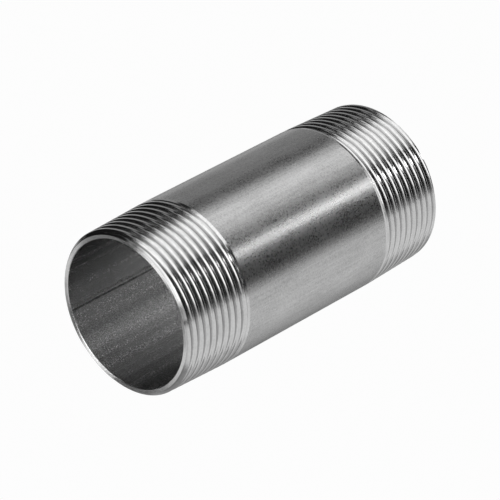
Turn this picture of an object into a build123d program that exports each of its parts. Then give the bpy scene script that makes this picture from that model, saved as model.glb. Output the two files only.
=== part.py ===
from build123d import *
from math import atan, cos, degrees, radians, sin, tan
import os

# Threaded pipe nipple: a length of longitudinally welded stainless pipe with
# a right-hand taper pipe thread (R 1 1/2) on each end.
#
# The pipe axis is X and +Z is up. The origin is on the axis, halfway along
# the pipe. The near end is the one at -X. Sizes are in millimetres.
os.makedirs("parts", exist_ok=True)

# Pipe
LENGTH = 100.0
OUTER_R = 48.3 / 2
WALL = 2.77
BORE_R = OUTER_R - WALL
DEBURR = 0.2  # small chamfer where the bore meets each end face

# Taper thread, R 1 1/2: 55 degree form, 11 threads per inch, with full round crests
PITCH = 25.4 / 11
TAPER = 1 / 32  # growth of the radius per unit of length
END_CREST_R = 23.475
HALF_ANGLE = 27.5
CREST_ROUND = 0.6
ROOT_ROUND = 0.1
NEAR_CREST = 20.87  # last crest, on the near end
FAR_CREST = 20.22  # last crest, on the far end
CREST_ANGLE = 40.0  # where round the pipe it lies there: 0 is -Y, 90 is up

# Mouth: the flat end face and the chamfer behind it
MOUTH_R = 22.5
MOUTH_CHAMFER = 1.0

# Shoulder: the wall the thread runs out into, and the slight cone up to the barrel
THREAD_LENGTH = 22.75
CONE_LENGTH = 0.8
CONE_DEPTH = 0.15
WALL_LEAN = 15.0

# Weld bead that closes the pipe
SEAM_ANGLE = 197.6  # measured like the angle above
SEAM_WIDTH = 2.0
SEAM_RISE = 0.15  # height of the bead above the bore
SEAM_DEPTH = 0.4  # how far the bead reaches into the wall

# Helper sizes
SECTORS = 2  # the thread is made in this many sectors round the pipe
SECTOR = 360 / SECTORS
OVERRUN = 5.0  # degrees each sector's teeth run past the sector
CLEAR = 1.0  # overlap given to shapes that are trimmed afterwards
TEETH = 13  # enough to pass both the mouth and the shoulder
TEETH_END = 22.2  # the teeth stop here, inside the shoulder
TEETH_COVER = 0.05  # depth of metal the shoulder leaves over their stopped ends
JOIN_TOLERANCE = 2e-4

FLANK_SLOPE = tan(radians(HALF_ANGLE))
BULGE = 1 - sin(radians(HALF_ANGLE))
FLANK = PITCH / 2 - (CREST_ROUND + ROOT_ROUND) * cos(radians(HALF_ANGLE))
DEPTH = (CREST_ROUND + ROOT_ROUND) * BULGE + FLANK / FLANK_SLOPE
CONE_X = THREAD_LENGTH - CONE_LENGTH
CONE_R = OUTER_R - CONE_DEPTH


def crest_r(distance):
    """Crest radius of the thread at a distance from the end face."""
    return END_CREST_R + distance * TAPER


def end_envelope():
    """One sector of the threaded end without its teeth, from X = 0 inwards."""
    chamfer_rise = crest_r(MOUTH_CHAMFER) - MOUTH_R
    with BuildPart() as envelope:
        with BuildSketch(Plane.XZ):
            with BuildLine():
                Polyline(
                    (0, BORE_R + DEBURR),
                    (0, MOUTH_R),
                    (2 * MOUTH_CHAMFER, MOUTH_R + 2 * chamfer_rise),
                    (CONE_X - 2 * CLEAR, OUTER_R + CLEAR),
                    (CONE_X - CONE_LENGTH / 2, OUTER_R + TEETH_COVER),
                    (CONE_X - TEETH_COVER, CONE_R - TEETH_COVER),
                    (TEETH_END, CONE_R - TEETH_COVER),
                    (TEETH_END, BORE_R),
                    (DEBURR, BORE_R),
                    close=True,
                )
            make_face()
        revolve(axis=Axis.X, revolution_arc=SECTOR)
    return envelope.part


def shoulder():
    """The ring the thread runs out into, up to the barrel."""
    foot_r = crest_r(CONE_X) - DEPTH - CLEAR / 2
    wall_x = CONE_X - (CONE_R - foot_r) * tan(radians(WALL_LEAN))
    with BuildPart() as ring:
        with BuildSketch(Plane.XZ):
            with BuildLine():
                Polyline(
                    (wall_x, foot_r),
                    (CONE_X, CONE_R),
                    (THREAD_LENGTH, OUTER_R),
                    (THREAD_LENGTH, BORE_R),
                    (TEETH_END, BORE_R),
                    (TEETH_END, foot_r),
                    close=True,
                )
            make_face()
        revolve(axis=Axis.X)
    return ring.part


def rounded(middle, height, size):
    """Points round a root (size above 0) or a crest (size below 0) of the thread."""
    spread = abs(size)
    lean = radians((90 - HALF_ANGLE) / 2)
    outer_x = spread * cos(radians(HALF_ANGLE))
    inner_x = spread * sin(lean)
    return [
        (middle - outer_x, height + size * BULGE),
        (middle - inner_x, height + size * (1 - cos(lean))),
        (middle, height),
        (middle + inner_x, height + size * (1 - cos(lean))),
        (middle + outer_x, height + size * BULGE),
    ]


def toothed_sector(first_crest):
    """Teeth and the metal under them, swept along the tapered helix.

    first_crest is the last tooth's distance from the end face at the start.
    """
    path_r = crest_r(first_crest)
    inner_r = BORE_R - CLEAR
    outline = []
    for index in range(TEETH, -1, -1):
        crest = first_crest - PITCH * index
        root = crest + PITCH / 2
        outline += rounded(crest, crest_r(crest), -CREST_ROUND)
        outline += rounded(root, crest_r(root) - DEPTH, ROOT_ROUND)
    outline += [
        (outline[-1][0], inner_r),
        (outline[0][0], inner_r),
    ]
    angle = SECTOR + 2 * OVERRUN
    with BuildPart() as teeth:
        with BuildSketch(Plane.XZ):
            with BuildLine():
                Polyline(outline, close=True)
            make_face()
        with BuildLine() as path:
            Helix(
                pitch=PITCH / cos(atan(TAPER)),
                height=PITCH * angle / 360,
                radius=path_r,
                center=(first_crest, 0, 0),
                direction=(1, 0, 0),
                cone_angle=degrees(atan(TAPER)),
            )
        sweep(path=path.line, is_frenet=True, clean=False)
    return teeth.part.rotate(Axis.X, -OVERRUN)


def threaded_end(last_crest):
    """One threaded end, end face at X = 0 and shoulder at X = THREAD_LENGTH."""
    envelope = end_envelope()
    start = last_crest + PITCH
    sectors = []
    for index in range(SECTORS):
        turns_left = 1 - index / SECTORS + OVERRUN / 360
        with BuildPart() as sector:
            add(envelope)
            add(toothed_sector(start - turns_left * PITCH), mode=Mode.INTERSECT)
        sectors.append(sector.part.rotate(Axis.X, index * SECTOR))
    whole = sectors[0].fuse(*sectors[1:], tol=JOIN_TOLERANCE).fuse(shoulder(), tol=JOIN_TOLERANCE)
    return whole.rotate(Axis.X, 90 - CREST_ANGLE)


# Plane of the near end face, turned so its x points at the weld
seam_plane = Plane(
    origin=(-LENGTH / 2, 0, 0),
    x_dir=(0, -cos(radians(SEAM_ANGLE)), sin(radians(SEAM_ANGLE))),
    z_dir=(1, 0, 0),
)

# Slot the weld bead sits in, cut into all three lengths of the pipe
with BuildPart() as seam_slot:
    with BuildSketch(seam_plane):
        with Locations((BORE_R, 0)):
            Rectangle(2 * SEAM_DEPTH, SEAM_WIDTH)
    extrude(amount=LENGTH)

# Barrel: the plain length between the two shoulders
with BuildPart() as barrel:
    with BuildSketch(Plane.YZ.offset(THREAD_LENGTH - LENGTH / 2)):
        Circle(OUTER_R)
        Circle(BORE_R, mode=Mode.SUBTRACT)
    extrude(amount=LENGTH - 2 * THREAD_LENGTH)
    add(seam_slot.part, mode=Mode.SUBTRACT)
barrel.part.label = "barrel"
export_step(barrel.part, "parts/barrel.step")

# Near threaded end
with BuildPart() as thread_near:
    add(threaded_end(NEAR_CREST).translate((-LENGTH / 2, 0, 0)))
    add(seam_slot.part, mode=Mode.SUBTRACT)
thread_near.part.label = "thread_near"
export_step(thread_near.part, "parts/thread_near.step")

# Far threaded end: turned round, so its thread stays right-hand
with BuildPart() as thread_far:
    add(threaded_end(FAR_CREST).rotate(Axis.Z, 180).translate((LENGTH / 2, 0, 0)))
    add(seam_slot.part, mode=Mode.SUBTRACT)
thread_far.part.label = "thread_far"
export_step(thread_far.part, "parts/thread_far.step")

# Weld bead, end to end, chamfered with the mouths of the bore
with BuildPart() as weld_seam:
    with BuildSketch(seam_plane):
        with BuildLine():
            Polyline(
                (BORE_R, SEAM_WIDTH / 2),
                (BORE_R + SEAM_DEPTH, SEAM_WIDTH / 2),
                (BORE_R + SEAM_DEPTH, -SEAM_WIDTH / 2),
                (BORE_R, -SEAM_WIDTH / 2),
            )
            ThreePointArc(
                (BORE_R, -SEAM_WIDTH / 2),
                (BORE_R - SEAM_RISE, 0),
                (BORE_R, SEAM_WIDTH / 2),
            )
        make_face()
    extrude(amount=LENGTH)
    with BuildSketch(Plane.XZ):
        with BuildLine():
            Polyline(
                (LENGTH / 2, 0),
                (LENGTH / 2, BORE_R + DEBURR),
                (LENGTH / 2 - 2 * DEBURR, BORE_R - DEBURR),
                (LENGTH / 2 - 2 * DEBURR, 0),
                close=True,
            )
        make_face()
        mirror(about=Plane.YZ)
    revolve(axis=Axis.X, mode=Mode.SUBTRACT)
weld_seam.part.label = "weld_seam"
export_step(weld_seam.part, "parts/weld_seam.step")
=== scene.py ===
import math

import bmesh
import bpy
import numpy as np
from mathutils import Matrix, Vector


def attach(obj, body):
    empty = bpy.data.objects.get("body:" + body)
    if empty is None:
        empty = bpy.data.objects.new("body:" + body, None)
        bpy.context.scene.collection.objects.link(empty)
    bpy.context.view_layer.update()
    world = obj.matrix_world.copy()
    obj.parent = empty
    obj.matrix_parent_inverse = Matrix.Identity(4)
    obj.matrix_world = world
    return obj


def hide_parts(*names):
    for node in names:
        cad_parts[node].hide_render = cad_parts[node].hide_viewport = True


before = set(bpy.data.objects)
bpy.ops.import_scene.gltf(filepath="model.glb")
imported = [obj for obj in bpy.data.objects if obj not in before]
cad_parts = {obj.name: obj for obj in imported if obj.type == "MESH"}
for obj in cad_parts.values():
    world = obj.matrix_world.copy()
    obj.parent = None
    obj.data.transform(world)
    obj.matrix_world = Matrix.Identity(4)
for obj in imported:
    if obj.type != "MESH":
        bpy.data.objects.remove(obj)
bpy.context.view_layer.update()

MM = 0.001

# Threaded pipe nipple. Sizes are in millimetres, places on the stage in metres.
#
# Pipe sizes, the same as in the part's source
LENGTH = 100.0
OUTER_R = 24.15
BORE_R = 21.38
DEBURR = 0.2

# Thread form: pitch and taper are the part's. The corners are tuned to the photo's
# reflections, which makes the thread 0.18 mm shallower than the part's.
PITCH = 25.4 / 11
TAPER = 1 / 32
HALF_ANGLE = math.radians(27.5)
END_CREST_R = 23.505
SOFT_ROUND = 0.65  # crest corner that faces the near end
HARD_ROUND = 0.2  # crest corner that faces the far end
CREST_FLAT = 0.4
ROOT_ROUND = 0.1
FLANK_SLOPE = math.tan(HALF_ANGLE)
BULGE = 1 - math.sin(HALF_ANGLE)
SOFT_X = SOFT_ROUND * math.cos(HALF_ANGLE)
HARD_X = HARD_ROUND * math.cos(HALF_ANGLE)
ROOT_X = ROOT_ROUND * math.cos(HALF_ANGLE)
FLANKS = PITCH - SOFT_X - CREST_FLAT - HARD_X - 2 * ROOT_X
SOFT_FLANK = (FLANKS - (SOFT_ROUND - HARD_ROUND) * BULGE * FLANK_SLOPE) / 2
DEPTH = (SOFT_ROUND + ROOT_ROUND) * BULGE + SOFT_FLANK / FLANK_SLOPE

# Where the last crest starts to be flat, CREST_ANGLE round the pipe, on each end
NEAR_CREST = 20.87
FAR_CREST = 20.27
CREST_ANGLE = 40.0

# Mouth chamfer, and the shoulder with its slight cone up to the barrel. The shoulder's
# wall leans like a flank here, more than in the part.
MOUTH_R = 22.5
MOUTH_CHAMFER = 1.0
THREAD_LENGTH = 22.75
CONE_LENGTH = 0.8
CONE_DEPTH = 0.15

# Weld bead along the bore. It is sunk into the wall, which has no slot here.
SEAM_ANGLE = 197.6
SEAM_WIDTH = 2.0
SEAM_RISE = 0.15
SEAM_SINK = 0.25  # how far its underside lies inside the wall
EDGE_SINK = 0.02  # how far its two edges lie inside the wall
EDGE_SHARE = 0.92  # share of the width between those edges
CROWN_POWER = 0.7  # below 1 makes the bead fuller at its sides
RIPPLE = 0.9  # spacing of the weld ripples
RIPPLE_HEIGHT = 0.012
RIPPLE_BOW = 0.35  # ripples trail at the sides by this share of their spacing
WANDERS = ((0.05, 7.3, 0.0), (0.03, 2.9, 1.0))  # share of width, length scale, phase

# Turned grooves across each end face, and the painted highlight along the bore
FACE_GROOVES = 6
FACE_DEPTH = 0.035
HIGHLIGHT_ANGLE = 227.0

# Middle point of the deburred bore edge, as shares of the deburr along and out
DEBURR_ALONG = 0.3
DEBURR_OUT = 0.62

# Mesh density
AROUND = 600
PER_PITCH = 48
PER_GROOVE = 8
END_BORE_ROWS = 12
BARREL_ROWS = 40
BEAD_STEP = 0.15
BEAD_ACROSS = 17
SHARP_EDGE = math.radians(28)
MERGE = 1e-7  # metres


def corner(along, size):
    """Drop below the crest of a round corner, at a distance along from its highest line."""
    along = np.clip(along, 0, size * math.cos(HALF_ANGLE))
    return size - np.sqrt(size**2 - along**2)


def thread_drop(offset, far):
    """Depth below the crest line, offset from where a crest starts to be flat.

    The softer corner of every crest faces -X, so the far end's form is turned round.
    """
    if far:
        offset = -offset
    offset = offset - PITCH * np.floor((offset + PITCH / 2) / PITCH)
    past_flat = offset - CREST_FLAT
    soft = corner(-offset, SOFT_ROUND) + np.maximum(-offset - SOFT_X, 0) / FLANK_SLOPE
    hard = corner(past_flat, HARD_ROUND) + np.maximum(past_flat - HARD_X, 0) / FLANK_SLOPE
    drop = np.where(offset < 0, soft, hard)
    soft_root = -SOFT_X - SOFT_FLANK - ROOT_X
    for root in (soft_root, soft_root + PITCH):
        away = np.minimum(np.abs(offset - root), ROOT_X)
        bowl = DEPTH - ROOT_ROUND + np.sqrt(ROOT_ROUND**2 - away**2)
        drop = np.where(np.abs(offset - root) < ROOT_X, bowl, drop)
    return drop


def end_radius(angle, distance, far):
    """Outer radius of a threaded end at an angle round it and a distance from its face."""
    last = (FAR_CREST if far else NEAR_CREST) - PITCH * (angle - CREST_ANGLE) / 360
    thread = END_CREST_R + distance * TAPER - thread_drop(distance - last, far)
    cone_x = THREAD_LENGTH - CONE_LENGTH
    wall = OUTER_R - CONE_DEPTH - (cone_x - distance) / FLANK_SLOPE
    rise = END_CREST_R + MOUTH_CHAMFER * TAPER - MOUTH_R
    chamfer = MOUTH_R + distance * rise / MOUTH_CHAMFER
    stops = [cone_x - CONE_LENGTH / 2, cone_x, THREAD_LENGTH]
    cap = np.interp(distance, stops, [OUTER_R, OUTER_R - CONE_DEPTH, OUTER_R])
    return np.minimum(np.minimum(np.maximum(thread, wall), chamfer), cap)


def ring_points(angle, distance, radius, far):
    """Row-frame points, in metres, from an angle, a distance from the end face and a radius."""
    x = distance - LENGTH / 2
    y = -np.cos(np.radians(angle)) * radius
    z = np.sin(np.radians(angle)) * radius
    if far:
        x, y = -x, -y
    return np.stack([x, y, z], axis=-1) * MM


def mesh_object(name, points, faces):
    """A smooth-shaded object with crisp edges, from points and faces."""
    mesh = bpy.data.meshes.new(name)
    mesh.from_pydata(points.tolist(), [], faces)
    work = bmesh.new()
    work.from_mesh(mesh)
    bmesh.ops.remove_doubles(work, verts=work.verts, dist=MERGE)
    bmesh.ops.dissolve_degenerate(work, edges=work.edges, dist=MERGE / 10)
    bmesh.ops.recalc_face_normals(work, faces=work.faces)
    work.to_mesh(mesh)
    work.free()
    mesh.shade_smooth()
    mesh.set_sharp_from_angle(angle=SHARP_EDGE)
    obj = bpy.data.objects.new(name, mesh)
    bpy.context.scene.collection.objects.link(obj)
    return obj


def band_faces(first, second, count):
    """Faces between two closed rings of points."""
    faces = []
    for i in range(count):
        j = (i + 1) % count
        faces.append((first + i, first + j, second + j, second + i))
    return faces


def threaded_end(name, far):
    """A threaded end: rows that follow the thread outside, then the face ring and the bore."""
    steps = np.arange(-PER_PITCH * 2, int(PER_PITCH * (THREAD_LENGTH / PITCH + 3)))
    angles = np.arange(AROUND) * 360 / AROUND
    grid_angle, grid_step = np.meshgrid(angles, steps, indexing="ij")
    crest = FAR_CREST if far else NEAR_CREST
    shift = crest % PITCH + PITCH * CREST_ANGLE / 360
    distance = (grid_step / PER_PITCH - grid_angle / 360) * PITCH + shift
    distance = np.clip(distance, 0, THREAD_LENGTH)
    outer = ring_points(grid_angle, distance, end_radius(grid_angle, distance, far), far)
    count = len(steps)
    points = [outer.reshape(-1, 3)]
    faces = []
    for i in range(AROUND):
        wrap = PER_PITCH if i + 1 == AROUND else 0
        a = i * count
        b = (i + 1) % AROUND * count - wrap
        for k in range(wrap, count - 1):
            faces.append((a + k, a + k + 1, b + k + 1, b + k))
    base = AROUND * count
    face = np.linspace(MOUTH_R, BORE_R + DEBURR, FACE_GROOVES * PER_GROOVE + 1)
    wave = 1 - np.cos(np.arange(len(face)) * 2 * math.pi / PER_GROOVE)
    profile = list(zip(wave / 2 * FACE_DEPTH, face))
    profile += [(DEBURR * DEBURR_ALONG, BORE_R + DEBURR * DEBURR_OUT), (DEBURR, BORE_R)]
    for k in range(1, END_BORE_ROWS + 1):
        profile.append((DEBURR + (THREAD_LENGTH - DEBURR) * k / END_BORE_ROWS, BORE_R))
    profile.append((THREAD_LENGTH, OUTER_R))
    for k, (where, size) in enumerate(profile):
        ring = ring_points(angles, np.full(AROUND, where), np.full(AROUND, size), far)
        points.append(ring)
        if k:
            faces += band_faces(base + (k - 1) * AROUND, base + k * AROUND, AROUND)
    return mesh_object(name, np.concatenate(points), faces)


def barrel_tube(name):
    """The plain tube between the two shoulders."""
    span = LENGTH - 2 * THREAD_LENGTH
    places = [THREAD_LENGTH + span * k / BARREL_ROWS for k in range(BARREL_ROWS + 1)]
    profile = [(where, OUTER_R) for where in places]
    profile += [(where, BORE_R) for where in reversed(places)]
    angles = np.arange(AROUND) * 360 / AROUND
    points = []
    faces = []
    for k, (where, size) in enumerate(profile):
        points.append(ring_points(angles, np.full(AROUND, where), np.full(AROUND, size), False))
        faces += band_faces(k * AROUND, (k + 1) % len(profile) * AROUND, AROUND)
    return mesh_object(name, np.concatenate(points), faces)


def weld_bead(name):
    """The low bead along the bore, with the ripples the weld pool left."""
    along = np.arange(DEBURR * 2, LENGTH - DEBURR * 2, BEAD_STEP)
    across = np.linspace(-1, 1, BEAD_ACROSS)
    grid_x, grid_u = np.meshgrid(along, across, indexing="ij")
    wander = sum(share * np.sin(grid_x / scale + phase) for share, scale, phase in WANDERS)
    ripple = np.cos(2 * math.pi * (grid_x / RIPPLE + RIPPLE_BOW * grid_u**2))
    inward = 1 - grid_u**2
    height = (SEAM_RISE - EDGE_SINK) * inward**CROWN_POWER + RIPPLE_HEIGHT * ripple * inward
    radius = BORE_R + EDGE_SINK - height
    half_angle = math.degrees(SEAM_WIDTH / 2 / BORE_R)
    angle = SEAM_ANGLE + half_angle * (grid_u * EDGE_SHARE + wander)
    top = ring_points(angle, grid_x, radius, False)
    under = ring_points(angle, grid_x, np.full_like(radius, BORE_R + SEAM_SINK), False)
    count = len(across)
    rows = len(along)
    size = rows * count
    faces = []
    for i in range(rows - 1):
        for k in range(count - 1):
            a = i * count + k
            faces.append((a, a + 1, a + 1 + count, a + count))
            faces.append((size + a, size + a + count, size + a + count + 1, size + a + 1))
    for i in range(rows - 1):
        for k in (0, count - 1):
            a = i * count + k
            faces.append((a, a + count, size + a + count, size + a))
    for i in (0, rows - 1):
        for k in range(count - 1):
            a = i * count + k
            faces.append((a, a + 1, size + a + 1, size + a))
    points = np.concatenate([top.reshape(-1, 3), under.reshape(-1, 3)])
    return mesh_object(name, points, faces)


def add_node(tree, kind, inputs, **settings):
    """A shader node with its settings, and its inputs given as values or sockets."""
    item = tree.nodes.new(kind)
    for key, value in settings.items():
        setattr(item, key, value)
    for key, value in inputs.items():
        if isinstance(value, bpy.types.NodeSocket):
            tree.links.new(value, item.inputs[key])
        else:
            item.inputs[key].default_value = value
    return item


def noise(tree, coords, scale, detail):
    """Noise with its own scale along the pipe and across it, per metre."""
    mapped = add_node(tree, "ShaderNodeMapping", {"Vector": coords, "Scale": scale})
    values = {"Vector": mapped.outputs[0], "Scale": 1.0, "Detail": detail, "Roughness": 0.6}
    return add_node(tree, "ShaderNodeTexNoise", values).outputs["Fac"]


def calc(tree, operation, *values):
    """The result of a maths node."""
    inputs = dict(enumerate(values))
    return add_node(tree, "ShaderNodeMath", inputs, operation=operation).outputs[0]


def spread(tree, value, low, high, start=0.3, end=0.7):
    """A value mapped from start..end to low..high."""
    inputs = {"Value": value, "From Min": start, "From Max": end, "To Min": low, "To Max": high}
    return add_node(tree, "ShaderNodeMapRange", inputs).outputs["Result"]


def total(tree, values):
    """The sum of several sockets."""
    result = values[0]
    for value in values[1:]:
        result = calc(tree, "ADD", result, value)
    return result


def radial(tree, coords):
    """Distance from the pipe axis."""
    parts = add_node(tree, "ShaderNodeSeparateXYZ", {0: coords}).outputs
    across = add_node(tree, "ShaderNodeCombineXYZ", {"Y": parts["Y"], "Z": parts["Z"]})
    return add_node(
        tree, "ShaderNodeVectorMath", {0: across.outputs[0]}, operation="LENGTH"
    ).outputs["Value"]


def satin_outside(tree, coords):
    """Shade, roughness and height of the satin, lightly drawn pipe wall."""
    grain = noise(tree, coords, (1700, 1700, 1700), 5)
    drawn = noise(tree, coords, (60, 1500, 1500), 3)
    cloud = noise(tree, coords, (90, 150, 150), 3)
    shade = total(tree, [spread(tree, grain, 0.43, 0.61), spread(tree, drawn, -0.05, 0.05),
                         spread(tree, cloud, -0.03, 0.05)])
    rough = total(tree, [spread(tree, cloud, 0.265, 0.295), spread(tree, grain, -0.03, 0.04)])
    height = total(tree, [spread(tree, grain, 0, 0.8), spread(tree, drawn, 0, 0.7)])
    return shade, rough, height


def bore_inside(tree, coords):
    """Shade, roughness and height of the rough inside: drawn streaks, and a painted highlight
    along the bore with painted sparkle in the grain near it.
    """
    grain = noise(tree, coords, (2600, 3200, 3200), 3)
    streak = noise(tree, coords, (5, 330, 330), 3)
    cloud = noise(tree, coords, (60, 120, 120), 3)
    turn = math.radians(HIGHLIGHT_ANGLE)
    toward = (0, -math.cos(turn) / MM / BORE_R, math.sin(turn) / MM / BORE_R)
    highlight_nearness = add_node(
        tree, "ShaderNodeVectorMath", {0: coords, 1: toward}, operation="DOT_PRODUCT"
    ).outputs["Value"]
    # Painted highlight: a lighter band of colour along the bore round this angle
    wide_highlight = spread(tree, highlight_nearness, 0, 0.04, math.cos(math.radians(16)), 1.0)
    narrow_highlight = spread(tree, highlight_nearness, 0, 0.36, math.cos(math.radians(8)), 1.0)
    strip = spread(tree, streak, 0.50, 0.80)
    base = total(tree, [strip, spread(tree, cloud, -0.04, 0.04), wide_highlight, narrow_highlight])
    far_off, close_by = math.cos(math.radians(40)), math.cos(math.radians(10))
    # Painted sparkle: the grain's contrast grows near the painted highlight
    highlight_sparkle = spread(tree, highlight_nearness, 1.2, 3.6, far_off, close_by)
    sparkle = calc(tree, "MULTIPLY_ADD", calc(tree, "SUBTRACT", grain, 0.5), highlight_sparkle, 1.0)
    shade = calc(tree, "MULTIPLY", base, sparkle)
    rough = total(tree, [spread(tree, streak, 0.19, 0.25), spread(tree, grain, -0.06, 0.06)])
    height = total(tree, [spread(tree, grain, 0, 4.5), spread(tree, streak, 0, 0.8)])
    return shade, rough, height


def turned_outside(tree, coords):
    """Shade, roughness and height of the bright threads, with painted shade darkening them towards
    their roots.
    """
    along = add_node(tree, "ShaderNodeSeparateXYZ", {0: coords}).outputs["X"]
    from_end = calc(tree, "SUBTRACT", LENGTH / 2 * MM, calc(tree, "ABSOLUTE", along))
    reach = radial(tree, coords)
    lathe = add_node(tree, "ShaderNodeCombineXYZ", {"X": along, "Y": reach}).outputs[0]
    marks = noise(tree, lathe, (5200, 5200, 1), 3)
    smear = noise(tree, coords, (420, 240, 240), 3)
    grain = noise(tree, coords, (1800, 1800, 1800), 4)
    # Painted shade: the colour darkens with depth below the crest line, towards the thread roots;
    # the end faces are left out
    crest = calc(tree, "MULTIPLY_ADD", from_end, TAPER, END_CREST_R * MM)
    below = calc(tree, "SUBTRACT", crest, reach)
    root_shade = spread(tree, below, 1.0, 0.42, 0.5 * MM, 1.35 * MM)
    bright = total(tree, [spread(tree, smear, 0.62, 0.72), spread(tree, grain, -0.04, 0.04)])
    faced = spread(tree, from_end, 1, 0, 0.05 * MM, 0.3 * MM)
    shade = calc(tree, "MULTIPLY", bright, calc(tree, "MAXIMUM", root_shade, faced))
    rough = total(tree, [spread(tree, marks, 0.11, 0.17), spread(tree, smear, -0.03, 0.05)])
    height = total(tree, [spread(tree, marks, 0, 0.5), spread(tree, grain, 0, 0.3)])
    return shade, rough, height


def weld_metal(tree, coords):
    """Shade, roughness and height of the weld bead, with a painted highlight line and a painted
    shade line along it.
    """
    grain = noise(tree, coords, (2200, 2200, 2200), 4)
    tint = noise(tree, coords, (350, 900, 900), 3)
    turn = math.radians(SEAM_ANGLE)
    across = add_node(
        tree, "ShaderNodeVectorMath", {0: coords, 1: (0, math.sin(turn), math.cos(turn))},
        operation="DOT_PRODUCT",
    ).outputs["Value"]
    highlight_and_shade_lines = []
    # A painted highlight line near the bead's middle, and a painted shade line beside it
    for middle, strength in ((0.15, 0.34), (0.55, -0.16)):
        away = calc(tree, "ABSOLUTE", calc(tree, "SUBTRACT", across, middle * MM))
        highlight_and_shade_lines.append(spread(tree, away, strength, 0, 0.08 * MM, 0.26 * MM))
    shade = total(tree, [spread(tree, tint, 0.36, 0.52), spread(tree, grain, -0.05, 0.05), *highlight_and_shade_lines])
    rough = total(tree, [spread(tree, tint, 0.20, 0.34), spread(tree, grain, -0.03, 0.05)])
    height = total(tree, [spread(tree, grain, 0, 0.6), spread(tree, tint, 0, 0.2)])
    return shade, rough, height


def metal(name, outside, inside=None, bump=0.3, relief=2e-5):
    """A bare metal; inside gives the look of the bore where a piece has both."""
    material = bpy.data.materials.new(name)
    material.use_nodes = True
    tree = material.node_tree
    shader = tree.nodes["Principled BSDF"]
    coords = tree.nodes.new("ShaderNodeTexCoord").outputs["Object"]
    looks = outside(tree, coords)
    if inside:
        edge = (BORE_R + DEBURR / 2) * MM
        mask = spread(tree, radial(tree, coords), 1, 0, edge - 0.05 * MM, edge + 0.05 * MM)
        blended = []
        for out_value, in_value in zip(looks, inside(tree, coords)):
            inputs = {0: mask, 2: out_value, 3: in_value}
            blended.append(add_node(tree, "ShaderNodeMix", inputs).outputs[0])
        looks = blended
    shade, rough, height = looks
    tree.links.new(shade, shader.inputs["Base Color"])
    tree.links.new(rough, shader.inputs["Roughness"])
    shader.inputs["Metallic"].default_value = 1
    values = {"Strength": bump, "Distance": relief, "Height": height}
    tree.links.new(add_node(tree, "ShaderNodeBump", values).outputs[0], shader.inputs["Normal"])
    return material


machined = metal("machined_steel", turned_outside, bore_inside)
satin = metal("satin_steel", satin_outside, bore_inside)
weld = metal("weld_metal", weld_metal)

for piece, node, slot, material in (
    (threaded_end("thread_near_skin", False), "thread_near", "machined_steel", machined),
    (threaded_end("thread_far_skin", True), "thread_far", "machined_steel", machined),
    (barrel_tube("barrel_skin"), "barrel", "satin_steel", satin),
    (weld_bead("weld_seam_skin"), "weld_seam", "weld_metal", weld),
):
    piece.data.materials.append(material)
    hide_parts(node)
    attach(piece, "root")

# Camera
right = Vector((0.6806, -0.7327, 0.0)).normalized()
forward = Vector((0.6370, 0.5917, -0.4941)).normalized()
up = right.cross(forward)
place = Vector((-0.6204, -0.5750, 0.4795))
camera_data = bpy.data.cameras.new("camera")
camera_data.sensor_width = 36
camera_data.lens = 256.8
camera = bpy.data.objects.new("camera", camera_data)
axes = Matrix((right, up, -forward)).transposed()
camera.matrix_world = Matrix.Translation(place) @ axes.to_4x4()
bpy.context.scene.collection.objects.link(camera)
bpy.context.scene.camera = camera
bpy.context.scene.view_settings.view_transform = "Standard"


def sheet(name, corners, strength):
    """A flat stage sheet through four corners, in metres, glowing evenly."""
    material = bpy.data.materials.new(name + "_glow")
    material.use_nodes = True
    tree = material.node_tree
    tree.nodes.clear()
    out = tree.nodes.new("ShaderNodeOutputMaterial")
    glow = tree.nodes.new("ShaderNodeEmission")
    glow.inputs["Strength"].default_value = strength
    tree.links.new(glow.outputs[0], out.inputs[0])
    mesh = bpy.data.meshes.new(name)
    mesh.from_pydata(corners, [], [(0, 1, 2, 3)])
    obj = bpy.data.objects.new(name, mesh)
    bpy.context.scene.collection.objects.link(obj)
    mesh.materials.append(material)
    obj.visible_camera = False
    return obj


def level_sheet(name, x, y, z, strength):
    """A level sheet from x[0] to x[1] and y[0] to y[1]."""
    corners = [(x[0], y[0], z), (x[1], y[0], z), (x[1], y[1], z), (x[0], y[1], z)]
    return sheet(name, corners, strength)


def upright_sheet(name, start, end, bottom, top, strength):
    """An upright sheet over the line from start to end."""
    corners = [(*start, bottom), (*end, bottom), (*end, top), (*start, top)]
    return sheet(name, corners, strength)


def long_strip(name, lift, distance, x, width, strength):
    """A strip parallel to the pipe on its camera side, lift degrees above level."""
    c, s = math.cos(math.radians(lift)), math.sin(math.radians(lift))
    low = (-c * distance - s * width / 2, s * distance - c * width / 2)
    high = (-c * distance + s * width / 2, s * distance + c * width / 2)
    return sheet(name, [(x[0], *low), (x[1], *low), (x[1], *high), (x[0], *high)], strength)


# Stage: a pale floor, and glowing sheets that only reflections and light see
UNDER_Z = -1.0
TOP_Z = 1.5
FLOOR_HALF = 2.0
FLOOR_GAP = 0.0001
SKIRT_Y = -5.7

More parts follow.
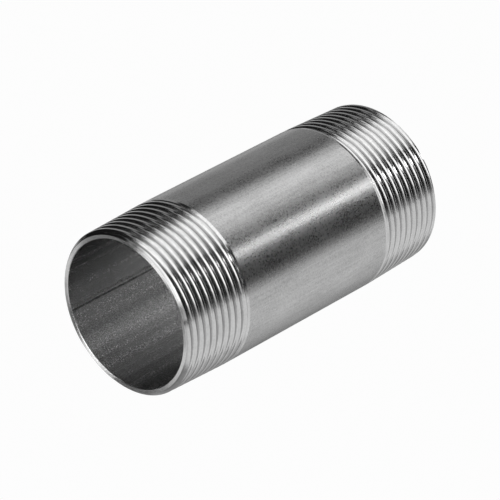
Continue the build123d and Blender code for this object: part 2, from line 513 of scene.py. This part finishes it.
# Each band: where it starts and stops across its row, and its strength
UNDER_BANDS = (
    (-5.7, -1.1, 0.80),
    (-1.1, -0.5, 0.80),
    (-0.5, -0.15, 0.70),
    (-0.15, 0.15, 0.50),
    (0.15, 0.5, 0.33),
    (0.5, 5.0, 0.20),
)
LEFT_BANDS = ((-2.2, -1.5, 0.50), (-1.5, -0.8, 0.90), (-0.8, -0.5, 0.45), (-0.5, 0.0, 0.28))
SKIRT = (
    (-1.0, -0.8, 0.55),
    (-0.8, -0.55, 0.4),
    (-0.55, -0.3, 0.26),
    (-0.3, -0.05, 0.14),
    (-0.05, 0.2, 0.06),
)
LEFT_SKIRT = ((-1.0, -0.6, 0.75), (-0.6, -0.2, 0.6), (-0.2, 0.2, 0.45))
TOP_BANDS = (
    (-0.85, -0.6, 0.35),
    (-0.6, -0.3, 0.7),
    (-0.3, 0.0, 0.95),
    (0.0, 0.4, 1.15),
    (0.4, 0.6, 0.65),
    (0.6, 0.8, 0.3),
)

floor_reach = (-FLOOR_HALF, FLOOR_HALF)
floor = level_sheet("floor", floor_reach, floor_reach, -OUTER_R * MM - FLOOR_GAP, 0.98)
floor.visible_camera = True
floor.visible_glossy = False

# Below the pipe
for index, (start, stop, strength) in enumerate(UNDER_BANDS):
    level_sheet(f"under_{index}", (0.0, 4.8), (start, stop), UNDER_Z, strength)
for index, (start, stop, strength) in enumerate(LEFT_BANDS):
    level_sheet(f"under_left_{index}", (start, stop), (-0.5, 0.6), UNDER_Z, strength)
level_sheet("under_far_left", (-3.5, -2.2), (-1.2, 0.6), UNDER_Z, 0.28)
level_sheet("under_near_left", (-2.2, 0.0), (-1.2, -0.5), UNDER_Z, 0.78)
level_sheet("under_front_left", (-3.75, 0.0), (-5.7, -1.2), UNDER_Z, 0.78)
level_sheet("under_end", (-3.75, 0.0), (0.6, 5.0), UNDER_Z, 0.62)

# Upright at the far edge of the camera side, rising from the sheets below
for index, (bottom, top, strength) in enumerate(SKIRT):
    upright_sheet(f"skirt_{index}", (1.8, SKIRT_Y), (6.0, SKIRT_Y), bottom, top, strength)
for index, (bottom, top, strength) in enumerate(LEFT_SKIRT):
    upright_sheet(f"left_skirt_{index}", (-8.0, SKIRT_Y), (1.8, SKIRT_Y), bottom, top, strength)

# Above the pipe
for index, (start, stop, strength) in enumerate(TOP_BANDS):
    level_sheet(f"top_end_{index}", (0.7, 2.4), (start, stop), TOP_Z, strength)
level_sheet("top_box", (-9.0, 0.7), (-1.0, 0.45), TOP_Z, 1.35)
level_sheet("top_rear", (-9.0, 0.7), (0.45, 0.75), TOP_Z, 0.6)
level_sheet("rear_top", (-2.0, 0.4), (0.95, 1.25), TOP_Z, 0.3)

# Cards and the strip light round it
long_strip("strip_light", 41, 1.2, (0.90, 1.9), 0.15, 5.0)
upright_sheet("front_card", (0.45, -2.2), (-3.0, -2.2), 0.5, 3.0, 1.5)
upright_sheet("front_foot", (0.45, -2.2), (-3.0, -2.2), 0.1, 0.5, 0.5)
upright_sheet("side_card", (-3.0, -2.2), (-3.0, 1.5), 0.58, 3.0, 1.6)
upright_sheet("side_low", (-3.0, 0.3), (-3.0, 1.25), -0.6, 0.58, 1.5)
upright_sheet("right_card", (2.5, -1.55), (2.5, -0.1), -0.6, 1.2, 0.9)
upright_sheet("back_card", (0.6, 1.6), (2.4, 0.9), -0.1, 1.3, 0.3)
upright_sheet("back_low", (0.8, 3.0), (5.0, 3.0), -1.0, 0.3, 0.6)

world = bpy.data.worlds.new("room")
world.use_nodes = True
world.node_tree.nodes["Background"].inputs["Color"].default_value = (0.01, 0.01, 0.01, 1)
bpy.context.scene.world = world
